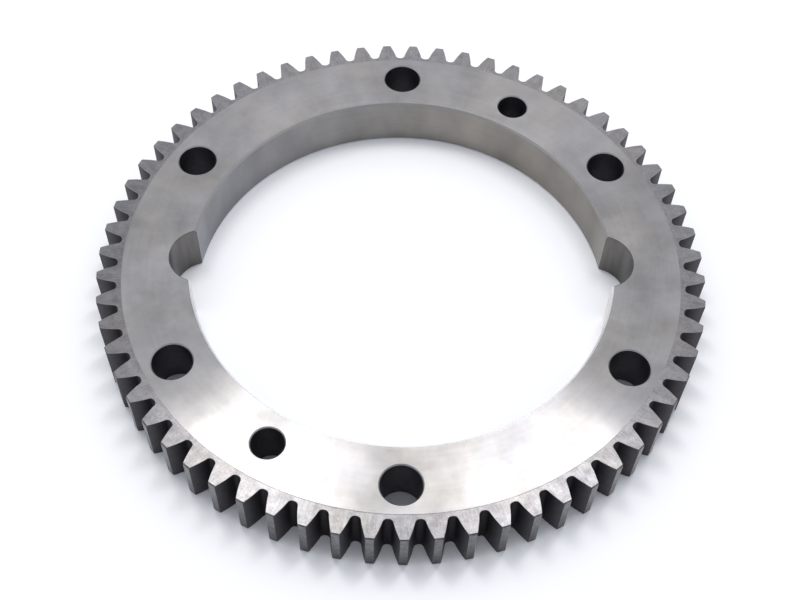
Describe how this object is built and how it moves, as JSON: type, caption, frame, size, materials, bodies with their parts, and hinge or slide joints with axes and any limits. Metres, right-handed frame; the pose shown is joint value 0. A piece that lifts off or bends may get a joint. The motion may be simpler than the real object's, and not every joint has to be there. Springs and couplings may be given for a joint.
{
  "type": "flywheel ring gear",
  "caption": "Flat steel ring gear with straight involute teeth outside, a bolt circle and jacking holes in its face, and two round notches in its bore.",
  "frame": {"origin": "middle of the underside, on the axis of the bore", "axes": "+Z along the axis of the bore, +Y through the first bolt hole, X through the two notches"},
  "size_m": [0.1624, 0.1624, 0.015],
  "materials": {
    "steel": "turned and ground faces, milled teeth"
  },
  "bodies": {
    "root": {"ring_gear": "steel"}
  },
  "joints": []
}
